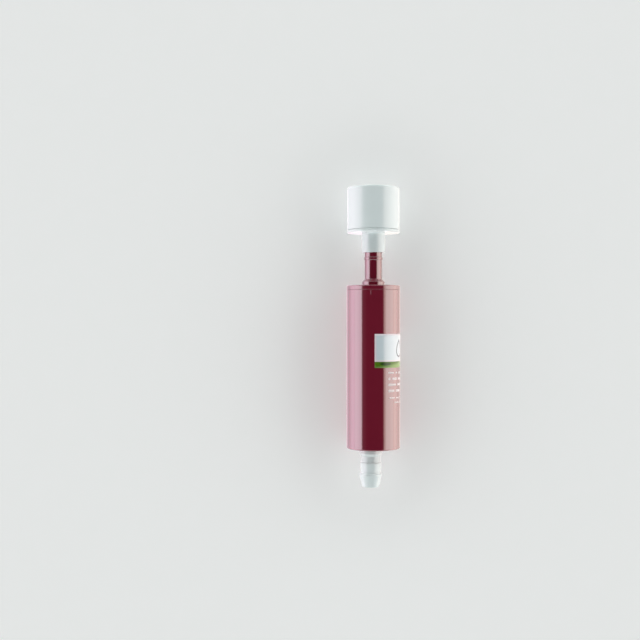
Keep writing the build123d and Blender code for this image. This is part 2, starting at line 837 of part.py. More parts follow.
# Filter screen: coarse net in a rim, behind the slotted end
screen_radius = filter_bore - fit
net_radius = screen_radius - screen_rim
net_count = int(2 * net_radius / screen_pitch) + 1
with BuildPart() as filter_screen:
    with BuildSketch(across(x_screen)):
        Circle(screen_radius)
        with BuildSketch(across(x_screen), mode=Mode.SUBTRACT):
            with GridLocations(screen_pitch, screen_pitch, net_count, net_count):
                Rectangle(screen_pitch - screen_bar, screen_pitch - screen_bar)
            Circle(net_radius, mode=Mode.INTERSECT)
    extrude(amount=screen_thickness)
finish(filter_screen, "filter_screen")
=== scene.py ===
"""Finish of a slim in-line pump: shells, slotted filter, woven net, label, materials, light and camera."""
import json

import bpy
import numpy as np
from bpy.props import FloatProperty, FloatVectorProperty, IntProperty, PointerProperty
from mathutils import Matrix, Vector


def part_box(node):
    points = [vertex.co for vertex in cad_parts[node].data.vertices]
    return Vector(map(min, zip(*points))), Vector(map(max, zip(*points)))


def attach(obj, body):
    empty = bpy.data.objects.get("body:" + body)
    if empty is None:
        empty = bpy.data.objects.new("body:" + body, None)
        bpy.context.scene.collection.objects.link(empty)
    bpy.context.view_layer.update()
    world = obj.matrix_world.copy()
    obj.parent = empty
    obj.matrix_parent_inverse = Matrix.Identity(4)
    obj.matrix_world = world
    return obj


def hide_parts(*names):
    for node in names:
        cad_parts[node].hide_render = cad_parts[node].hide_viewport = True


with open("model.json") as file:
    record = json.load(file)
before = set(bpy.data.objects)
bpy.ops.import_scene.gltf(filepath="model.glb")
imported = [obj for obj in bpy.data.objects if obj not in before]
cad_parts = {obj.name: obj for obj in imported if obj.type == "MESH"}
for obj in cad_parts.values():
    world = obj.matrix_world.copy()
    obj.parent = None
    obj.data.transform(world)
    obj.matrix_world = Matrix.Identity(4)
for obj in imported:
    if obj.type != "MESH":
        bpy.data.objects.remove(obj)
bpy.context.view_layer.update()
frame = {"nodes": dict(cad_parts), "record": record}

bl_info = {
    "name": "Slim in-line pump",
    "version": (1, 0, 0),
    "blender": (4, 5, 0),
    "location": "3D View > Sidebar > Pump",
    "description": "Builds the visible shells, label, net, materials and studio of a slim in-line pump",
    "category": "Object",
}

MM = 0.001
IMAGE_PIXELS = 640
SENSOR_MM = 36.0

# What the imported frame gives, in metres
CASING_LOW, CASING_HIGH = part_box("outer_casing")
CAP_LOW, CAP_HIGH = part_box("inlet_cap")
TAIL_LOW, TAIL_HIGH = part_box("outlet_tail")
GLAND_LOW, GLAND_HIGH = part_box("cable_gland")
BASE_LOW, BASE_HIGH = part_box("filter_base")
CUP_LOW, CUP_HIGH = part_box("filter_cup")
SCREEN_LOW, SCREEN_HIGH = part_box("filter_screen")

CASING_RADIUS = (CASING_HIGH.z - CASING_LOW.z) / 2
PUMP_AXIS = (0.0, (CASING_LOW.z + CASING_HIGH.z) / 2)
OUTLET_AXIS = ((TAIL_LOW.y + TAIL_HIGH.y) / 2, (TAIL_LOW.z + TAIL_HIGH.z) / 2)
STEM_AXIS = ((GLAND_LOW.y + GLAND_HIGH.y) / 2, (GLAND_LOW.z + GLAND_HIGH.z) / 2)
SCREEN_RADIUS = (SCREEN_HIGH.z - SCREEN_LOW.z) / 2


def metres(name, text, millimetres):
    """Length property that is written in millimetres and held in metres."""
    return FloatProperty(name=name, description=text, default=millimetres * MM, unit="LENGTH", precision=5)


def number(name, text, value):
    """Plain number property."""
    return FloatProperty(name=name, description=text, default=value)


def tint(name, text, red, green, blue):
    """Colour property."""
    shade = (red, green, blue)
    return FloatVectorProperty(name=name, description=text, subtype="COLOR", size=3, default=shade)


class PumpSizes(bpy.types.PropertyGroup):
    """Sizes of the shells, label and net that the frame's boxes don't give."""

    sides: IntProperty(name="Sides", description="Faces round each turned shell", default=180)
    film: metres("Film", "Thickness of the label, let into the casing's own radius", 0.05)
    ink: metres("Ink", "Thickness of the printed drop and bars", 0.02)
    casing_wall: metres("Casing wall", "Thickness of the casing's side", 2.0)
    end_wall: metres("End wall", "Thickness of the casing's end round the outlet", 4.0)
    label_length: metres("Label length", "Length of the label round the casing", 40.0)
    label_front: metres("Label front", "The label's edge nearest to the inlet, in x", 2.1)
    label_rear: metres("Label rear", "The label's edge nearest to the outlet, in x", -21.4)
    seam_edge: metres("Seam edge", "Round of the casing's and the cap's edges at their seam", 0.25)
    mouth_gap: metres("Mouth gap", "Open joint between the filter's cup and its lip", 0.2)
    net_pitch: metres("Net pitch", "From wire to wire in the filter's net", 1.1)
    net_wire: metres("Net wire", "Diameter of the net's wires", 0.36)


class PumpColours(bpy.types.PropertyGroup):
    """Base colours of the finishes that show."""

    casing_red: tint("Casing red", "Moulded casing and cap", 0.173, 0.0125, 0.029)
    tail_white: tint("Tail white", "Outlet tail and filter", 0.737, 0.813, 0.812)
    label_grey: tint("Label grey", "Label's plain panel", 0.60, 0.69, 0.725)
    label_white: tint("Label white", "Margin round the panel", 0.71, 0.65, 0.69)
    label_green: tint("Label green", "Label's strip", 0.078, 0.175, 0.008)
    label_dark: tint("Label dark", "Shade in the label's strip", 0.012, 0.055, 0.004)
    # Painted reflection: lighter green on the right part of the label's strip, standing in for a reflection
    label_reflection_green: tint("Label lime", "Light lower edge of the label's strip", 0.27, 0.42, 0.12)
    ink_white: tint("Ink white", "Printed bars", 0.75, 0.66, 0.66)
    ink_grey: tint("Ink grey", "Outlined drop on the label", 0.10, 0.12, 0.14)
    floor: tint("Floor", "Floor and backdrop", 0.80, 0.81, 0.80)


class PumpStage(bpy.types.PropertyGroup):
    """Camera and light."""

    focal_pixels: number("Focal pixels", "Focal length, in pixels of the image", 1040)
    pixel_size: metres("Pixel size", "Real width of a pixel at the pump's axis", 0.71)
    axis_column: number("Axis column", "Image column of the pump's axis", 373.3)
    middle_row: number("Middle row", "Image row of the middle of the pump", 336.6)
    room_light: number("Room light", "Radiance of the room up to the lamps' height", 1.9)
    lamp_light: number("Lamp light", "Highest radiance of a side lamp", 3.15)
    glow_light: number("Glow light", "Highest radiance of a floor glow", 3.7)
    lamp_distance: metres("Lamp distance", "From the pump's axis to a side lamp", 450)
    lamp_length: metres("Lamp length", "Length of a lamp along the pump", 700)
    cool_height: metres("Cool lamp height", "Top of the lamp on the +y side, which is faint there", 700)
    warm_height: metres("Warm lamp height", "Top of the lamp on the -y side, which is faint there", 600)
    glow_start: metres("Glow start", "From the pump's axis to the near edge of a floor glow", 6)
    floor_lift: number("Floor lift", "Plain white added to the floor as it is seen", 0.2)


# ------------------------------------------------------------------ surfaces


def rounded_outline(corners, closed, steps=6):
    """Outline through corners (x, r, round), as one array of (x, r) points.

    Each corner becomes an arc tangent to its two runs: the arc's centre lies on the corner's bisector, at
    round / sin(half the angle between the runs), and the arc's points turn evenly about it. A guard point
    close to each end of an arc keeps the shading of the runs flat. The ends of an open outline stay sharp.
    """
    corners = np.asarray(corners, float)
    at, radius = corners[:, :2], corners[:, 2]
    back = np.roll(at, 1, 0) - at
    forth = np.roll(at, -1, 0) - at
    length = np.linalg.norm(forth, axis=1)
    back /= np.linalg.norm(back, axis=1)[:, None]
    forth /= length[:, None]
    half = 0.5 * np.arccos(np.clip((back * forth).sum(1), -1, 1))
    reach = radius / np.tan(half)
    guard = np.minimum(0.25 * MM, (length - reach - np.roll(reach, -1)) / 3)
    bisector = (back + forth) / np.linalg.norm(back + forth, axis=1)[:, None]
    centre = at + bisector * (radius / np.sin(half))[:, None]
    first, last = at + back * reach[:, None], at + forth * reach[:, None]
    turn = (np.pi - 2 * half)[:, None]
    share = np.linspace(0, 1, steps + 1)
    towards_first = (np.sin((1 - share) * turn) / np.sin(turn))[:, :, None]
    towards_last = (np.sin(share * turn) / np.sin(turn))[:, :, None]
    arc = centre[:, None] + towards_first * (first - centre)[:, None]
    arc = arc + towards_last * (last - centre)[:, None]
    before = (first + back * np.roll(guard, 1)[:, None])[:, None]
    after = (last + forth * guard[:, None])[:, None]
    rows = np.concatenate([before, arc, after], axis=1)
    if closed:
        return rows.reshape(-1, 2)
    return np.concatenate([at[:1], rows[1:-1].reshape(-1, 2), at[-1:]])


def grid_faces(rows, columns, wrap_rows=False, wrap_columns=False):
    """Quads of a grid of points, rows by columns, closed on itself in either direction if asked."""
    row = np.arange(rows if wrap_rows else rows - 1)[:, None]
    column = np.arange(columns if wrap_columns else columns - 1)[None, :]
    below, beside = (row + 1) % rows, (column + 1) % columns
    near, far = row * columns, below * columns
    corners = (near + column, near + beside, far + beside, far + column)
    return np.stack(np.broadcast_arrays(*corners), -1).reshape(-1, 4)


def new_piece(name, points, faces, outwards=True):
    """Smooth mesh object from points and faces. A closed shape's faces are turned outwards by its volume."""
    mesh = bpy.data.meshes.new(name)
    mesh.from_pydata(points.tolist(), [], faces)
    if outwards:
        mesh.calc_loop_triangles()
        corners = np.zeros(len(mesh.loop_triangles) * 3, np.int32)
        mesh.loop_triangles.foreach_get("vertices", corners)
        a, b, c = (points[corners.reshape(-1, 3)[:, k]] for k in range(3))
        if (np.cross(a, b) * c).sum() < 0:
            mesh.flip_normals()
    mesh.shade_smooth()
    mesh.update()
    piece = bpy.data.objects.new(name, mesh)
    bpy.context.scene.collection.objects.link(piece)
    return piece


def turned(name, corners, axis, closed, sides):
    """Surface of revolution: outline point (x, r) goes round to (x, axis y + r sin t, axis z + r cos t).

    A closed outline makes a ring. An open one starts and ends on the axis, where a fan closes each pole.
    """
    outline = rounded_outline(corners, closed)
    turn = np.linspace(0, 2 * np.pi, sides, endpoint=False)
    body = outline if closed else outline[1:-1]
    x, radius = body[:, :1], body[:, 1:]
    rings = np.stack([x + 0 * turn, axis[0] + radius * np.sin(turn), axis[1] + radius * np.cos(turn)], -1)
    points = rings.reshape(-1, 3)
    faces = grid_faces(len(body), sides, closed, True).tolist()
    if not closed:
        poles = [[outline[0, 0], *axis], [outline[-1, 0], *axis]]
        around = np.arange(sides)
        beside = (around + 1) % sides
        far = len(points) - sides
        faces += np.stack([beside, around, 0 * around + len(points)], -1).tolist()
        faces += np.stack([far + around, far + beside, 0 * around + len(points) + 1], -1).tolist()
        points = np.concatenate([points, poles])
    return new_piece(name, points, faces)


def carved(piece, cutters):
    """Cuts the cutters' solids out of a piece, by exact Booleans, and removes the cutters."""
    for cutter in cutters:
        cut = piece.modifiers.new(cutter.name, "BOOLEAN")
        cut.operation, cut.solver, cut.object = "DIFFERENCE", "EXACT", cutter
    ready = piece.evaluated_get(bpy.context.evaluated_depsgraph_get())
    mesh = bpy.data.meshes.new_from_object(ready)
    piece.modifiers.clear()
    piece.data = mesh
    for cutter in cutters:
        bpy.data.objects.remove(cutter)
    mesh.shade_smooth()
    mesh.set_sharp_from_angle(angle=np.radians(35))


def rod(name, x_from, x_to, radius, axis, sides=72):
    """Plain closed rod along x."""
    corners = [(x_from, 0, 0), (x_from, radius, 0.02 * MM), (x_to, radius, 0.02 * MM), (x_to, 0, 0)]
    return turned(name, corners, axis, False, sides)


def wrapped(name, x, s, radius, rows, columns):
    """Patch of the casing's surface: grids x and s, where s runs round the casing from its top towards -y.

    The point at x and s is (x, axis y - R sin(s / R), axis z + R cos(s / R)) for a radius R.
    """
    angle = s / CASING_RADIUS
    points = np.stack([x, PUMP_AXIS[0] - radius * np.sin(angle), PUMP_AXIS[1] + radius * np.cos(angle)], -1)
    return new_piece(name, points.reshape(-1, 3), grid_faces(rows, columns).tolist(), outwards=False)


def thickened(piece, thickness):
    """Gives a patch its thickness, inwards."""
    wall = piece.modifiers.new("film", "SOLIDIFY")
    wall.thickness, wall.offset = thickness, -1


# ------------------------------------------------------------------ materials


class Nodes:
    """Small helper that adds nodes to a node tree, and fills or links their sockets."""

    def __init__(self, tree):
        self.tree = tree

    def add(self, kind, **settings):
        """Node of a kind, with its settings."""
        node = self.tree.nodes.new(kind)
        for name, value in settings.items():
            setattr(node, name, value)
        return node

    def give(self, socket, value):
        """Links the socket from another, or fills it with a value. A colour comes as red, green and blue."""
        if isinstance(value, bpy.types.NodeSocket):
            self.tree.links.new(value, socket)
        elif socket.type == "RGBA":
            socket.default_value = (*value[:3], 1.0)
        else:
            socket.default_value = value

    def feed(self, node, **sockets):
        """Gives values to the node's inputs, which are named with _ for a space."""
        for name, value in sockets.items():
            self.give(node.inputs[name.replace("_", " ")], value)
        return node

    def math(self, operation, *values):
        """Output of a Math node on the given values."""
        node = self.add("ShaderNodeMath", operation=operation)
        for socket, value in zip(node.inputs, values):
            self.give(socket, value)
        return node.outputs[0]

    def mix(self, factor, first, second):
        """Output of a Mix node from the first colour to the second."""
        node = self.add("ShaderNodeMix", data_type="RGBA")
        for place, value in (("Factor", factor), (6, first), (7, second)):
            self.give(node.inputs[place], value)
        return node.outputs[2]


def new_group(name, inputs, outputs):
    """Empty node group with named sockets, and the helper for its tree."""
    group = bpy.data.node_groups.new(name, "ShaderNodeTree")
    for way, sockets in (("INPUT", inputs), ("OUTPUT", outputs)):
        for socket, kind in sockets.items():
            group.interface.new_socket(name=socket, in_out=way, socket_type=f"NodeSocket{kind}")
    return group, Nodes(group)


def moulded_grain():
    """Group: cloudy colour, uneven gloss and fine height of a moulded or cast surface."""
    group = bpy.data.node_groups.get("moulded_grain")
    if group:
        return group
    inputs = {"Place": "Vector", "Colour": "Color"}
    inputs |= {name: "Float" for name in ("Cloud", "Gloss", "Uneven", "Grain")}
    outputs = {"Colour": "Color", "Roughness": "Float", "Height": "Float"}
    group, nodes = new_group("moulded_grain", inputs, outputs)
    given = nodes.add("NodeGroupInput").outputs
    cloud, grain = nodes.add("ShaderNodeTexNoise"), nodes.add("ShaderNodeTexNoise")
    nodes.feed(cloud, Vector=given["Place"], Scale=60.0, Detail=3.0)
    nodes.feed(grain, Vector=given["Place"], Scale=given["Grain"], Detail=2.0)
    shade = nodes.feed(
        nodes.add("ShaderNodeMapRange"),
        Value=cloud.outputs["Fac"],
        From_Min=0.3,
        From_Max=0.7,
        To_Min=nodes.math("SUBTRACT", 1.0, given["Cloud"]),
        To_Max=1.0,
    )
    toned = nodes.add("ShaderNodeVectorMath", operation="SCALE")
    nodes.give(toned.inputs[0], given["Colour"])
    nodes.give(toned.inputs["Scale"], shade.outputs[0])
    rough = nodes.math("MULTIPLY_ADD", cloud.outputs["Fac"], given["Uneven"], given["Gloss"])
    result = nodes.add("NodeGroupOutput")
    nodes.feed(result, Colour=toned.outputs[0], Roughness=rough, Height=grain.outputs["Fac"])
    return group


def drawn_lines():
    """Group: fine lines along one direction, as left by drawing, grinding or stacking."""
    group = bpy.data.node_groups.get("drawn_lines")
    if group:
        return group
    group, nodes = new_group("drawn_lines", {"Place": "Vector", "Stretch": "Vector"}, {"Line": "Float"})
    given = nodes.add("NodeGroupInput").outputs
    scaled = nodes.add("ShaderNodeVectorMath", operation="MULTIPLY")
    nodes.give(scaled.inputs[0], given["Place"])
    nodes.give(scaled.inputs[1], given["Stretch"])
    lines = nodes.feed(nodes.add("ShaderNodeTexNoise"), Vector=scaled.outputs[0], Scale=1.0, Detail=2.0)
    nodes.feed(nodes.add("NodeGroupOutput"), Line=lines.outputs["Fac"])
    return group


def material(name):
    """New material, its helper, its object coordinates and the Principled shader on its output."""
    made = bpy.data.materials.new(f"{name}_finish")
    made.use_nodes = True
    made.node_tree.nodes.clear()
    nodes = Nodes(made.node_tree)
    place = nodes.add("ShaderNodeTexCoord").outputs["Object"]
    shader = nodes.add("ShaderNodeBsdfPrincipled")
    nodes.feed(nodes.add("ShaderNodeOutputMaterial"), Surface=shader.outputs[0])
    return made, nodes, place, shader


def surfaced(nodes, place, shader, height, depth, **grain):
    """Wires the moulded grain's colour and roughness into a shader, and a bump of a depth in metres.

    The bump's height is the given socket, or the grain's own where none is given.
    """
    base = nodes.feed(nodes.add("ShaderNodeGroup", node_tree=moulded_grain()), Place=place, **grain)
    if height is None:
        height = base.outputs["Height"]
    bump = nodes.feed(nodes.add("ShaderNodeBump"), Height=height, Strength=1.0, Distance=depth)
    nodes.feed(shader, Base_Color=base.outputs["Colour"], Roughness=base.outputs["Roughness"])
    nodes.feed(shader, Normal=bump.outputs[0])


def moulded(
    name, colour, gloss, cloud=0.06, grain=900.0, depth=0.002 * MM, shine=0.5, coat=0.0, coat_ior=1.5
):
    """Moulded plastic or rubber. Under a full coat, the base itself is matt."""
    _, nodes, place, shader = material(name)
    look = {"Colour": colour, "Cloud": cloud, "Gloss": gloss, "Uneven": 0.05, "Grain": grain}
    surfaced(nodes, place, shader, None, depth, **look)
    nodes.feed(shader, Specular_IOR_Level=shine * (1 - coat))
    nodes.feed(shader, Coat_Weight=coat, Coat_Roughness=0.03, Coat_IOR=coat_ior)


def metal(name, colour, gloss, stretch, depth=0.003 * MM):
    """Drawn, ground or stacked metal with lines across the stretched direction."""
    _, nodes, place, shader = material(name)
    lines = nodes.feed(nodes.add("ShaderNodeGroup", node_tree=drawn_lines()), Place=place, Stretch=stretch)
    height = lines.outputs["Line"]
    look = {"Colour": colour, "Cloud": 0.15, "Gloss": gloss, "Uneven": 0.12, "Grain": 500.0}
    surfaced(nodes, place, shader, height, depth, **look)
    nodes.feed(shader, Metallic=1.0)


def label_film(colours):
    """Printed film: grey panel with a white margin over a green strip with a dark shade, and a lighter green
    painted on the strip as a reflection.

    The film's own u runs round the casing and v from its outlet edge to its inlet edge. The shade is
    strongest in the middle of an ellipse in u and v. The lighter green of a painted reflection lies below a
    line that rises with u.
    """
    strip_top, margin_u, margin_v = 0.18, 0.03, 0.045
    shade_u, shade_v, shade_reach_u, shade_reach_v, shade_strength = 0.2, 0.115, 0.125, 0.055, 2.0
    reflection_rise, reflection_sharpness = 0.33, 12.0
    panel_coat, strip_coat = 0.75, 0.15
    _, nodes, place, shader = material("label_film")
    math, mix = nodes.math, nodes.mix
    film = nodes.add("ShaderNodeUVMap", uv_map="film").outputs[0]
    u, v, _ = nodes.feed(nodes.add("ShaderNodeSeparateXYZ"), Vector=film).outputs

    def off(at, middle, reach):
        """Square of the distance from a middle, in reaches."""
        return math("POWER", math("ABSOLUTE", math("DIVIDE", math("SUBTRACT", at, middle), reach)), 2.0)

    inside = math("SUBTRACT", 1.0, off(u, shade_u, shade_reach_u))
    inside = math("SUBTRACT", inside, off(v, shade_v, shade_reach_v))
    shade = math("MULTIPLY", math("MAXIMUM", inside, 0.0), shade_strength)
    green = mix(math("MINIMUM", shade, 1.0), colours.label_green, colours.label_dark)
    # Painted reflection: the strip turns lighter green below a line that rises with u
    edge = math("MULTIPLY", math("SUBTRACT", math("MULTIPLY", u, reflection_rise), v), reflection_sharpness)
    strip = mix(math("MINIMUM", math("MAXIMUM", edge, 0.0), 1.0), green, colours.label_reflection_green)

    def outside(at, low, high):
        """One beyond a range, and zero in it."""
        return math("MAXIMUM", math("LESS_THAN", at, low), math("GREATER_THAN", at, high))

    beside, above = outside(u, margin_u, 1 - margin_u), outside(v, strip_top + margin_v, 1 - margin_v)
    panel = mix(math("MAXIMUM", beside, above), colours.label_grey, colours.label_white)
    in_strip = math("LESS_THAN", v, strip_top)
    printed = mix(in_strip, panel, strip)
    look = {"Colour": printed, "Cloud": 0.02, "Gloss": 0.28, "Uneven": 0.05, "Grain": 1500.0}
    surfaced(nodes, place, shader, None, 0.001 * MM, **look)
    nodes.feed(shader, Coat_Weight=math("MULTIPLY_ADD", in_strip, strip_coat - panel_coat, panel_coat))
    nodes.feed(shader, Coat_Roughness=0.05, Specular_IOR_Level=0.2)


def finishes(colours):
    """Makes every finish: one for each slot in the record, and the label's."""
    moulded("red_plastic", colours.casing_red, 0.3, coat=1.0, coat_ior=1.8)
    moulded("white_plastic", colours.tail_white, 0.16, cloud=0.03, shine=0.37)
    moulded("black_plastic", (0.03, 0.03, 0.032), 0.5, grain=1400.0, depth=0.006 * MM)
    moulded("grey_plastic", (0.32, 0.33, 0.34), 0.42, grain=1400.0)
    moulded("net", (0.6, 0.62, 0.62), 0.4, cloud=0.1)
    moulded("seal_rubber", (0.022, 0.022, 0.023), 0.65, grain=2200.0, depth=0.008 * MM)
    metal("can_steel", (0.55, 0.56, 0.57), 0.28, (60.0, 900.0, 900.0))
    metal("shaft_steel", (0.62, 0.62, 0.63), 0.16, (4000.0, 40.0, 40.0))
    metal("lamination", (0.22, 0.22, 0.24), 0.4, (5000.0, 5.0, 5.0), depth=0.02 * MM)
    metal("copper", (0.72, 0.36, 0.18), 0.3, (60.0, 3000.0, 3000.0), depth=0.02 * MM)
    metal("bronze", (0.55, 0.38, 0.2), 0.45, (900.0, 900.0, 900.0))
    moulded("carbon", (0.04, 0.04, 0.045), 0.7, grain=2600.0, depth=0.01 * MM)
    moulded("ferrite", (0.06, 0.06, 0.065), 0.75, cloud=0.2, grain=1200.0, depth=0.02 * MM)
    moulded("lead_red", (0.5, 0.02, 0.02), 0.45)
    moulded("lead_black", (0.02, 0.02, 0.02), 0.45)
    label_film(colours)
    moulded("ink_white", colours.ink_white, 0.35, cloud=0.02, shine=0.25)
    moulded("ink_grey", colours.ink_grey, 0.35, cloud=0.02)


def finish(name):
    """The finish of that name, made with all the others on first use."""
    if f"{name}_finish" not in bpy.data.materials:
        finishes(bpy.context.scene.pump_colours)
    return bpy.data.materials[f"{name}_finish"]


def seat(piece, body, slot, *nodes, look=None):
    """Parents a new piece to its body's empty, gives it the finish of its slot or of its own look, and hides
    the given nodes.
    """
    piece.data.materials.clear()
    piece.data.materials.append(finish(look or slot))
    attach(piece, body)
    if nodes:
        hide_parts(*nodes)


# ------------------------------------------------------------------ operators


class PumpOperator(bpy.types.Operator):
    """Base of the pump's operators: runs build and reports errors by raising them."""

    bl_options = {"REGISTER", "UNDO"}

    def execute(self, context):
        """Builds the piece."""
        scene = context.scene
        self.build(scene.pump_sizes, scene.pump_colours, scene.pump_stage)
        return {"FINISHED"}


class PUMP_OT_casing(PumpOperator):
    """Turn the casing and cut its outlet port and cable port"""

    bl_idname = "pump.casing"
    bl_label = "Casing"

    def build(self, sizes, colours, stage):
        """Open outline of the closed end, the side and the mouth at the seam, and two ports in the end."""
        outer, bore = CASING_RADIUS - sizes.film, CASING_RADIUS - sizes.casing_wall
        outlet_port, cable_port, past = 6.45 * MM, 4.45 * MM, 1 * MM
        x_end, x_inside, x_seam = CASING_LOW.x, CASING_LOW.x + sizes.end_wall, CASING_HIGH.x
        corners = [
            (x_end, 0, 0),
            (x_end, outer, 1.0 * MM),
            (x_seam, outer, sizes.seam_edge),
            (x_seam, bore, 0.2 * MM),
            (x_inside, bore, 0.6 * MM),
            (x_inside, 0, 0),
        ]
        piece = turned("casing_shell", corners, PUMP_AXIS, False, sizes.sides)
        cutters = [
            rod("outlet_port", x_end - past, x_inside + past, outlet_port, OUTLET_AXIS),
            rod("cable_port", x_end - past, x_inside + past, cable_port, STEM_AXIS),
        ]
        carved(piece, cutters)
        seat(piece, "pump_body", "red_plastic", "outer_casing")


class PUMP_OT_inlet_cap(PumpOperator):
    """Turn the inlet cap with its boss, hose tail and bead"""

    bl_idname = "pump.inlet_cap"
    bl_label = "Inlet cap"

    def build(self, sizes, colours, stage):
        """Closed outline from the bore round the spigot, its ring groove, rim, boss and tail."""
        outer, bore, bell_mouth = CASING_RADIUS - sizes.film, 4.5 * MM, 5.8 * MM
        spigot, spigot_bore, tail, boss = 16.95 * MM, 14.35 * MM, 6.2 * MM, 8.1 * MM
        rim_length, face_wall, bell_length, bead_place = 3.2 * MM, 3.6 * MM, 7 * MM, 19 * MM
        boss_side, boss_foot = 2.5 * MM, 4.4 * MM
        bead_top, bead_foot, bead_height = 0.6 * MM, 1.3 * MM, 0.4 * MM
        x_seam, x_end = CASING_HIGH.x, CAP_HIGH.x
        x_face = x_seam + rim_length
        x_inner, x_bead = x_face - face_wall, x_face + bead_place
        x_ring = (x_seam + CAP_LOW.x) / 2
        groove, groove_floor = 0.7 * MM, spigot - 1.3 * MM
        corners = [
            (x_end, bore, 0.3 * MM),
            (x_inner + bell_length, bore, 2 * MM),
            (x_inner, bell_mouth, 0.4 * MM),
            (x_inner, spigot_bore, 0.5 * MM),
            (CAP_LOW.x, spigot_bore, 0.3 * MM),
            (CAP_LOW.x, spigot, 0.5 * MM),
            (x_ring - groove, spigot, 0.1 * MM),
            (x_ring - groove, groove_floor, 0.1 * MM),
            (x_ring + groove, groove_floor, 0.1 * MM),
            (x_ring + groove, spigot, 0.1 * MM),
            (x_seam, spigot, 0.05 * MM),
            (x_seam, outer, sizes.seam_edge),
            (x_face, outer, 0.9 * MM),
            (x_face, boss, 0.5 * MM),
            (x_face + boss_side, boss, 0.5 * MM),
            (x_face + boss_foot, tail, 0.8 * MM),
            (x_bead - bead_foot, tail, 0.5 * MM),
            (x_bead - bead_top, tail + bead_height, 0.4 * MM),
            (x_bead + bead_top, tail + bead_height, 0.4 * MM),
            (x_bead + bead_foot, tail, 0.5 * MM),
            (x_end, tail, 1.0 * MM),
        ]
        piece = turned("inlet_cap_shell", corners, PUMP_AXIS, True, sizes.sides)
        seat(piece, "pump_body", "red_plastic", "inlet_cap")


class PUMP_OT_outlet_tail(PumpOperator):
    """Turn the ridged outlet tail"""

    bl_idname = "pump.outlet_tail"
    bl_label = "Outlet tail"

    def build(self, sizes, colours, stage):
        """Closed outline from the bore round the spigot, collar, neck, two ridges and tapered tip."""
        bore, spigot, collar, neck = 4.6 * MM, 6.4 * MM, 7.8 * MM, 6.8 * MM
        inner_ridge, outer_ridge, tip = 7.3 * MM, collar, 5.8 * MM
        x_face, x_tip = CASING_LOW.x, TAIL_LOW.x
        x_collar, x_inner, x_outer = x_face - 4.6 * MM, x_face - 10.6 * MM, x_face - 18.4 * MM
        land = taper = 1.4 * MM
        corners = [
            (TAIL_HIGH.x, bore, 0.3 * MM),
            (TAIL_HIGH.x, spigot, 0.3 * MM),
            (x_face, spigot, 0.05 * MM),
            (x_face, collar, 0.2 * MM),
            (x_collar + taper, collar, 2.2 * MM),
            (x_collar, neck, 2.2 * MM),
            (x_inner + land, neck, 0.27 * MM),
            (x_inner + land, inner_ridge, 0.22 * MM),
            (x_inner, inner_ridge, 0.5 * MM),
            (x_outer + 2 * land, neck, 0.5 * MM),
            (x_outer + land, neck, 0.5 * MM),
            (x_outer + land, outer_ridge, 0.4 * MM),
            (x_outer, outer_ridge, 0.5 * MM),
            (x_tip, tip, 0.7 * MM),
            (x_tip, bore, 0.3 * MM),
        ]
        piece = turned("outlet_tail_shell", corners, OUTLET_AXIS, True, sizes.sides)
        seat(piece, "pump_body", "white_plastic", "outlet_tail")


class PUMP_OT_cable_gland(PumpOperator):
    """Turn the cable gland"""

    bl_idname = "pump.cable_gland"
    bl_label = "Cable gland"

    def build(self, sizes, colours, stage):
        """Closed outline of a flanged rubber bush."""
        bore, stem, flange = 2.6 * MM, 3.28 * MM, 4.2 * MM
        flange_length, flange_slope, gland_sides = 1.8 * MM, 0.6 * MM, 96
        x_flange = GLAND_LOW.x + flange_length
        corners = [
            (GLAND_LOW.x, bore, 0.3 * MM),
            (GLAND_HIGH.x, bore, 0.1 * MM),
            (GLAND_HIGH.x, stem, 0.1 * MM),
            (x_flange, stem, 0.1 * MM),
            (x_flange, flange, 0.2 * MM),
            (GLAND_LOW.x, flange - flange_slope, 0.5 * MM),
        ]
        piece = turned("cable_gland_bush", corners, STEM_AXIS, True, gland_sides)
        seat(piece, "pump_body", "seal_rubber", "cable_gland")


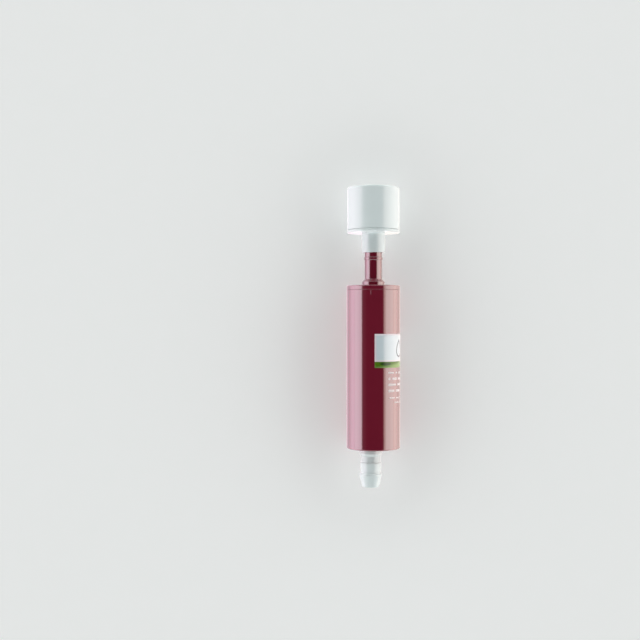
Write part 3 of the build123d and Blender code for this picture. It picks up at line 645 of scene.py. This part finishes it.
class PUMP_OT_filter(PumpOperator):
    """Turn the filter's base and its cup, and cut the cup's slots"""

    bl_idname = "pump.filter"
    bl_label = "Filter"

    def build(self, sizes, colours, stage):
        """The sleeve and disc of the base, then the cup."""
        self.base(sizes)
        self.cup(sizes)

    def base(self, sizes):
        """Closed outline of the sleeve, its stop, the disc, the spigot and the lip."""
        sleeve, bore, neck = 6.28 * MM, 4.5 * MM, 8.1 * MM
        spigot, spigot_wall, lip = 16.85 * MM, 1.5 * MM, (BASE_HIGH.z - BASE_LOW.z) / 2
        base_length, disc_wall, lip_length, stop_gap = 4.6 * MM, 2.2 * MM, 1.9 * MM, 0.3 * MM
        x_disc, x_stop = BASE_HIGH.x - base_length, CAP_HIGH.x + stop_gap
        x_inside, x_lip = x_disc + disc_wall, x_disc + lip_length
        corners = [
            (BASE_LOW.x, sleeve, 0.3 * MM),
            (x_stop, sleeve, 0.1 * MM),
            (x_stop, bore, 0.1 * MM),
            (x_inside, bore, 0.3 * MM),
            (x_inside, spigot - spigot_wall, 0.3 * MM),
            (BASE_HIGH.x, spigot - spigot_wall, 0.3 * MM),
            (BASE_HIGH.x, spigot, 0.3 * MM),
            (x_lip, spigot, 0.1 * MM),
            (x_lip, lip, 0.35 * MM),
            (x_disc, lip, 0.95 * MM),
            (x_disc, neck, 1.2 * MM),
            (BASE_LOW.x, neck, 0.5 * MM),
        ]
        piece = turned("filter_base_shell", corners, PUMP_AXIS, True, sizes.sides)
        seat(piece, "filter", "white_plastic", "filter_base")

    def cup(self, sizes):
        """Turned cup, with two rings of radial slots in its end."""
        side, bore, end_wall = (CUP_HIGH.z - CUP_LOW.z) / 2, 16.9 * MM, 1.8 * MM
        x_mouth, x_end = CUP_LOW.x + sizes.mouth_gap, CUP_HIGH.x
        x_inside = x_end - end_wall
        corners = [
            (x_end, 0, 0),
            (x_end, side, 1.4 * MM),
            (x_mouth, side, 0.4 * MM),
            (x_mouth, bore, 0.2 * MM),
            (x_inside, bore, 0.6 * MM),
            (x_inside, 0, 0),
        ]
        piece = turned("filter_cup_shell", corners, PUMP_AXIS, False, sizes.sides)
        slots = [
            self.slots("outer_slots", 30, 11.0 * MM, 15.0 * MM, x_inside, x_end),
            self.slots("inner_slots", 15, 5.0 * MM, 9.6 * MM, x_inside, x_end),
        ]
        carved(piece, slots)
        seat(piece, "filter", "white_plastic", "filter_cup")

    def slots(self, name, count, inner, outer, x_inside, x_end):
        """Cutter of one ring of slots, from an inner to an outer radius.

        Each slot is a bar whose ends are half circles, and it is the first one turned about the axis.
        """
        half, steps, past = 0.65 * MM, 7, 1 * MM
        bend = np.linspace(-np.pi / 2, np.pi / 2, steps)
        tip = np.stack([outer - half + half * np.cos(bend), half * np.sin(bend)], -1)
        root = np.stack([inner + half - half * np.cos(bend), -half * np.sin(bend)], -1)
        ring = np.concatenate([tip, root])
        turn = np.arange(count) * 2 * np.pi / count
        y = ring[:, 0] * np.cos(turn)[:, None] - ring[:, 1] * np.sin(turn)[:, None]
        z = ring[:, 0] * np.sin(turn)[:, None] + ring[:, 1] * np.cos(turn)[:, None]
        y, z = y + PUMP_AXIS[0], z + PUMP_AXIS[1]
        ends = [np.stack([x + 0 * y, y, z], -1) for x in (x_inside - past, x_end + past)]
        points = np.stack(ends, 1).reshape(-1, 3)
        sides = len(ring)
        wall = grid_faces(2, sides, False, True)
        lids = [np.arange(sides)[::-1], np.arange(sides) + sides]
        faces = []
        for copy in range(count):
            first = copy * 2 * sides
            faces += (wall + first).tolist() + [(lid + first).tolist() for lid in lids]
        return new_piece(name, points, faces)


class PUMP_OT_net(PumpOperator):
    """Weave the filter's net and turn its rim"""

    bl_idname = "pump.net"
    bl_label = "Net"

    def build(self, sizes, colours, stage):
        """Wires both ways, over and under each other, held in a moulded rim."""
        half = (SCREEN_HIGH.x - SCREEN_LOW.x) / 2
        rim_width, rim_sides, held = 1.6 * MM, 120, 0.5 * MM
        rim_bore = SCREEN_RADIUS - rim_width
        corners = [
            (SCREEN_LOW.x, rim_bore, 0.3 * MM),
            (SCREEN_HIGH.x, rim_bore, 0.3 * MM),
            (SCREEN_HIGH.x, SCREEN_RADIUS, 0.2 * MM),
            (SCREEN_LOW.x, SCREEN_RADIUS, 0.2 * MM),
        ]
        rim = turned("net_rim", corners, PUMP_AXIS, True, rim_sides)
        seat(rim, "filter", "net", "filter_screen")
        points, faces = self.wires(sizes, SCREEN_LOW.x + half, rim_bore + held)
        seat(new_piece("woven_net", points, faces), "filter", "net", "filter_screen")

    def wires(self, sizes, x_middle, reach):
        """Wires of both directions, as points and faces.

        Wire k lies at k pitches from the middle, and at a distance d along it, it stands out from the net's
        middle by half a wire's thickness times cos(pi (d / pitch + k)). The wires of the other direction
        stand out by as much the other way, so that they pass over and under.
        """
        pitch, radius = sizes.net_pitch, sizes.net_wire / 2
        last = int(reach / pitch - 0.5)
        order = np.arange(-last, last + 1)[:, None, None]
        place = order * pitch
        steps, around = 97, 6
        share = np.linspace(-1, 1, steps)[None, :, None]
        turn = np.linspace(0, 2 * np.pi, around, endpoint=False)[None, None, :]
        along = share * np.sqrt(reach**2 - place**2)
        points, faces = [], []
        for sign in (1, -1):
            rise = sign * radius * np.cos(np.pi * (along / pitch + order))
            x = x_middle + rise + radius * np.cos(turn)
            beside = place + radius * np.sin(turn) + 0 * along
            ahead = along + 0 * turn
            x, beside, ahead = np.broadcast_arrays(x, beside, ahead)
            y, z = (ahead, beside) if sign > 0 else (beside, ahead)
            points.append(np.stack([x, y + PUMP_AXIS[0], z + PUMP_AXIS[1]], -1).reshape(-1, 3))
        wall = grid_faces(steps, around, False, True)
        ring = np.arange(around)
        lids = (ring[::-1], ring + (steps - 1) * around)
        for wire in range(2 * (2 * last + 1)):
            first = wire * steps * around
            flip = wire >= 2 * last + 1
            tube = (wall + first).tolist() + [(lid + first).tolist() for lid in lids]
            faces += [face[::-1] for face in tube] if flip else tube
        return np.concatenate(points), faces


class PUMP_OT_label(PumpOperator):
    """Wrap the label round the casing, with its drop and its printed bars, and raise the seam's mark"""

    bl_idname = "pump.label"
    bl_label = "Label"

    def build(self, sizes, colours, stage):
        """Film, drop, bars and mark, each a patch of the casing's surface."""
        self.film(sizes)
        self.drop(sizes)
        self.bars(sizes)
        self.mark(sizes)

    def film(self, sizes):
        """Plain rectangle of film, with its own u and v."""
        rows, columns = 13, 81
        v, u = np.meshgrid(np.linspace(0, 1, rows), np.linspace(0, 1, columns), indexing="ij")
        x = sizes.label_rear + (sizes.label_front - sizes.label_rear) * v
        piece = wrapped("label", x, sizes.label_length * u, CASING_RADIUS, rows, columns)
        layer = piece.data.uv_layers.new(name="film")
        corner = np.zeros(len(piece.data.loops), np.int32)
        piece.data.loops.foreach_get("vertex_index", corner)
        layer.data.foreach_set("uv", np.stack([u.ravel()[corner], v.ravel()[corner]], -1).ravel())
        thickened(piece, sizes.film * 0.9)
        seat(piece, "pump_body", "white_plastic", look="label_film")

    def drop(self, sizes):
        """Outline of a drop of water: half width w (1 - h)^0.85 sqrt(h) at the height h from root to tip.

        The angle t runs round it, with h = (1 - cos t) / 2, and the inner edge is the outer one drawn in.
        """
        rows, columns, inner_edge = 97, 4, 0.8
        width, length, middle = 10.6 * MM, 12.5 * MM, 0.42
        root_x, middle_s = -14.3 * MM, 22.5 * MM
        around, inwards = np.linspace(0, 2 * np.pi, rows), np.linspace(inner_edge, 1, columns)
        t, drawn_in = np.meshgrid(around, inwards, indexing="ij")
        h = 0.5 - 0.5 * np.cos(t)
        half_width = width * (1 - h) ** 0.85 * np.sqrt(h) * np.sign(np.sin(t))
        x = root_x + length * (middle + (h - middle) * drawn_in)
        s = middle_s + half_width * drawn_in
        piece = wrapped("label_drop", x, s, CASING_RADIUS + sizes.ink, rows, columns)
        thickened(piece, sizes.ink)
        seat(piece, "pump_body", "white_plastic", look="ink_grey")

    def bars(self, sizes):
        """Rows of round-ended bars: half width (d/2) sqrt(1 - e^2), where e goes from 0 to 1 over each end.

        A row is its middle's x, its bars' width d, and their starts and ends round the casing, all in mm.
        """
        rows_of_bars = (
            (-24.95, 1.3, ((10.0, 15.5), (17.0, 19.5), (21.0, 29.0))),
            (-29.15, 1.7, ((10.0, 12.0), (13.5, 19.0), (20.5, 31.0))),
            (-33.25, 1.6, ((10.0, 18.0), (19.5, 27.0))),
            (-37.55, 1.7, ((10.0, 16.0), (17.5, 24.0), (25.5, 33.0))),
            (-42.55, 0.95, ((11.0, 16.5), (18.0, 22.0), (23.5, 31.0))),
            (-45.75, 1.05, ((16.0, 22.0), (23.5, 29.0))),
        )
        rows, columns = 33, 5
        for line, (x_middle, height, bars) in enumerate(rows_of_bars):
            for place, (start, end) in enumerate(bars):
                t, across = np.meshgrid(np.linspace(0, 1, rows), np.linspace(-1, 1, columns), indexing="ij")
                ease = 0.5 - 0.5 * np.cos(np.pi * t)
                along = start + (end - start) * ease
                tip = np.clip(1 - np.minimum(along - start, end - along) / (height / 2), 0, 1)
                half_width = height / 2 * np.sqrt(1 - tip**2)
                x = (x_middle + half_width * across) * MM
                name = f"printed_bar_{line + 1}_{place + 1}"
                piece = wrapped(name, x, along * MM, CASING_RADIUS - sizes.film + sizes.ink, rows, columns)
                piece.data.flip_normals()
                thickened(piece, sizes.ink)
                seat(piece, "pump_body", "white_plastic", look="ink_white")

    def mark(self, sizes):
        """Small raised line by the seam, which lines the cap up with the casing.

        At t along it and c across it, both from -1 to 1, its height is h sqrt((1 - c^2) (1 - t^8)).
        """
        rows, columns = 17, 7
        middle_x, half_length = CASING_HIGH.x - 2.2 * MM, 1.4 * MM
        middle_s, half_width, rise = -2.6 * MM, 0.22 * MM, 0.1 * MM
        t, across = np.meshgrid(np.linspace(-1, 1, rows), np.linspace(-1, 1, columns), indexing="ij")
        x = middle_x + half_length * t
        s = middle_s + half_width * across
        height = rise * np.sqrt(np.clip((1 - across**2) * (1 - t**8), 0, 1))
        piece = wrapped("seam_mark", x, s, CASING_RADIUS - sizes.film + height, rows, columns)
        thickened(piece, sizes.film)
        seat(piece, "pump_body", "red_plastic")


class PUMP_OT_inner_parts(PumpOperator):
    """Give every part that stays as the frame holds it the finish of its slot"""

    bl_idname = "pump.inner_parts"
    bl_label = "Inner parts"

    def build(self, sizes, colours, stage):
        """One finish for each node, by its slot in the record."""
        slots = {part["node"]: part["material_slot"] for part in frame["record"]["subparts"]}
        for name, node in frame["nodes"].items():
            node.data.materials.clear()
            node.data.materials.append(finish(slots[name]))


class PUMP_OT_stage(PumpOperator):
    """Lay the floor, light the room and set the camera"""

    bl_idname = "pump.stage"
    bl_label = "Stage"

    def build(self, sizes, colours, stage):
        """Floor, room, side lamps and camera."""
        self.floor(colours, stage)
        self.room(colours, stage)
        self.lamps(stage)
        self.camera(stage)
        bpy.context.scene.view_settings.view_transform = "Standard"

    def floor(self, colours, stage):
        """Wide plain matt floor, lifted towards white where it is seen straight or in gloss."""
        reach = 8.0
        corners = reach * np.array([(-1, -1, 0), (1, -1, 0), (1, 1, 0), (-1, 1, 0)], float)
        piece = new_piece("floor", corners, [[0, 1, 2, 3]], outwards=False)
        made, nodes, place, shader = material("floor_paint")
        look = {"Colour": colours.floor, "Cloud": 0.01, "Gloss": 0.9, "Uneven": 0.05, "Grain": 300.0}
        surfaced(nodes, place, shader, None, 0.01 * MM, **look)
        ray = nodes.add("ShaderNodeLightPath").outputs
        seen = nodes.math("MAXIMUM", ray["Is Camera Ray"], ray["Is Glossy Ray"])
        nodes.feed(shader, Specular_IOR_Level=0.0, Emission_Color=(1.0, 1.0, 1.0))
        nodes.feed(shader, Emission_Strength=nodes.math("MULTIPLY", seen, stage.floor_lift))
        piece.data.materials.append(made)

    def room(self, colours, stage):
        """Room that is even from the horizon up to the lamps' height and, past a soft edge, dark above.

        Light of radiance L up to the height sin e gives a level of L sin^2 e on the floor, so the floor far
        off has that level times its colour, and the camera sees the same tone in the room behind it.
        """
        world = bpy.data.worlds.new("room")
        bpy.context.scene.world = world
        world.use_nodes = True
        tree = world.node_tree
        tree.nodes.clear()
        nodes = Nodes(tree)
        split = nodes.add("ShaderNodeSeparateXYZ")
        nodes.give(split.inputs[0], nodes.add("ShaderNodeTexCoord").outputs["Generated"])
        fade_low, fade_high, air = 0.56, 0.68, (0.98, 1.0, 1.0)
        strength = nodes.feed(
            nodes.add("ShaderNodeMapRange", interpolation_type="SMOOTHSTEP"),
            Value=split.outputs[2],
            From_Min=fade_low,
            From_Max=fade_high,
            To_Min=stage.room_light,
            To_Max=0.0,
        )
        light = nodes.feed(nodes.add("ShaderNodeBackground"), Color=air, Strength=strength.outputs[0])
        level = stage.room_light * ((fade_low + fade_high) / 2) ** 2
        tone = [level * channel * share + stage.floor_lift for channel, share in zip(colours.floor, air)]
        far = nodes.feed(nodes.add("ShaderNodeBackground"), Color=tone, Strength=1.0)
        shown = nodes.add("ShaderNodeMixShader")
        seen = nodes.add("ShaderNodeLightPath").outputs["Is Camera Ray"]
        for socket, value in zip(shown.inputs, (seen, light.outputs[0], far.outputs[0])):
            nodes.give(socket, value)
        nodes.feed(nodes.add("ShaderNodeOutputWorld"), Surface=shown.outputs[0])

    def lamps(self, stage):
        """Upright lamp and floor glow on each side. They show in gloss alone, so the light stays even.

        A fade is a list of stops: a share of the lamp's width, and the share of its light there. A lamp's
        width runs from the floor to its top, and a glow's from its near edge to its far one.
        """
        cool, warm = (1.0, 0.71, 0.86), (1.0, 0.79, 0.71)
        cool_fade = ((0.0, 1.0), (0.23, 0.98), (0.505, 0.75), (0.515, 0.05), (1.0, 0.02))
        warm_fade = ((0.0, 0.95), (0.39, 0.85), (0.78, 0.8), (0.85, 0.45), (0.92, 0.12), (1.0, 0.02))
        glow_fade = (
            (0.0, 0.17), (0.03, 0.18), (0.075, 0.27), (0.11, 0.47), (0.17, 0.74), (0.25, 0.9), (0.46, 1.0),
        )
        glow_width = stage.lamp_distance - stage.glow_start
        glow_middle = (stage.lamp_distance + stage.glow_start) / 2
        sides = (
            (1, "cool", cool, stage.cool_height, cool_fade),
            (-1, "warm", warm, stage.warm_height, warm_fade),
        )
        for side, name, colour, height, fade in sides:
            upright = (0.5 * np.pi, 0.0, (0.5 + 0.5 * side) * np.pi)
            flat = (np.pi, 0.0, (0.5 + 0.5 * side) * np.pi)
            lamp_place = (side * stage.lamp_distance, height / 2)
            glow_place = (side * glow_middle, 0.5 * MM)
            lamp, glow = (stage.lamp_light, height), (stage.glow_light, glow_width)
            self.lamp(f"{name}_lamp", stage, colour, *lamp, lamp_place, upright, fade)
            self.lamp(f"{name}_glow", stage, colour, *glow, glow_place, flat, glow_fade)

    def lamp(self, name, stage, colour, radiance, width, place, turn, fade):
        """Rectangular lamp, its long side along the pump. For a radiance L, an area A needs 4 A L watts."""
        lamp = bpy.data.lights.new(name, "AREA")
        lamp.shape, lamp.size, lamp.size_y = "RECTANGLE", stage.lamp_length, width
        lamp.energy, lamp.color = 4 * radiance * stage.lamp_length * width, colour
        lamp.use_nodes = True
        lamp.node_tree.nodes.clear()
        nodes = Nodes(lamp.node_tree)
        split = nodes.add("ShaderNodeSeparateXYZ")
        nodes.give(split.inputs[0], nodes.add("ShaderNodeNewGeometry").outputs["Parametric"])
        ramp = nodes.feed(nodes.add("ShaderNodeValToRGB"), Fac=split.outputs[1])
        stops = ramp.color_ramp.elements
        while len(stops) < len(fade):
            stops.new(0.5)
        for stop, (share, light) in zip(stops, fade):
            stop.position, stop.color = share, (light, light, light, 1.0)
        glow = nodes.feed(nodes.add("ShaderNodeEmission"), Color=ramp.outputs[0], Strength=1.0)
        nodes.feed(nodes.add("ShaderNodeOutputLight"), Surface=glow.outputs[0])
        holder = bpy.data.objects.new(name, lamp)
        holder.location = (0.0, *place)
        holder.rotation_euler = turn
        holder.visible_camera = holder.visible_diffuse = False
        bpy.context.scene.collection.objects.link(holder)

    def camera(self, stage):
        """Camera that looks straight down on the lying pump, the inlet at the top of the image."""
        half = IMAGE_PIXELS / 2
        camera = bpy.data.objects.new("camera", bpy.data.cameras.new("camera"))
        camera.data.sensor_width = SENSOR_MM
        camera.data.lens = SENSOR_MM * stage.focal_pixels / IMAGE_PIXELS
        x = -(half - stage.middle_row) * stage.pixel_size
        y = (stage.axis_column - half) * stage.pixel_size
        camera.location = (x, y, PUMP_AXIS[1] + stage.focal_pixels * stage.pixel_size)
        camera.rotation_euler = (0.0, 0.0, -np.pi / 2)
        bpy.context.scene.collection.objects.link(camera)
        bpy.context.scene.camera = camera


class PUMP_PT_panel(bpy.types.Panel):
    """Sidebar panel with the sizes, colours, light and every operator."""

    bl_label = "Slim in-line pump"
    bl_idname = "PUMP_PT_panel"
    bl_space_type = "VIEW_3D"
    bl_region_type = "UI"
    bl_category = "Pump"

    def draw(self, context):
        """Lists the settings of each group and a button for each operator."""
        for group in (context.scene.pump_sizes, context.scene.pump_colours, context.scene.pump_stage):
            box = self.layout.box()
            for name in group.__annotations__:
                box.prop(group, name)
        for operator in OPERATORS:
            self.layout.operator(operator.bl_idname)


GROUPS = {"pump_sizes": PumpSizes, "pump_colours": PumpColours, "pump_stage": PumpStage}
OPERATORS = (
    PUMP_OT_casing,
    PUMP_OT_inlet_cap,
    PUMP_OT_outlet_tail,
    PUMP_OT_cable_gland,
    PUMP_OT_filter,
    PUMP_OT_net,
    PUMP_OT_label,
    PUMP_OT_inner_parts,
    PUMP_OT_stage,
)


def register():
    """Registers the groups, operators and panel, and gives each scene its settings."""
    for name, group in GROUPS.items():
        bpy.utils.register_class(group)
        setattr(bpy.types.Scene, name, PointerProperty(type=group))
    for item in (*OPERATORS, PUMP_PT_panel):
        bpy.utils.register_class(item)


def unregister():
    """Removes what register added."""
    for item in (PUMP_PT_panel, *reversed(OPERATORS)):
        bpy.utils.unregister_class(item)
    for name, group in GROUPS.items():
        delattr(bpy.types.Scene, name)
        bpy.utils.unregister_class(group)


def main():
    """Builds the pump and its stage in order."""
    register()
    for operator in OPERATORS:
        group, name = operator.bl_idname.split(".")
        getattr(getattr(bpy.ops, group), name)()
    bpy.context.view_layer.update()


if __name__ == "__main__":
    main()
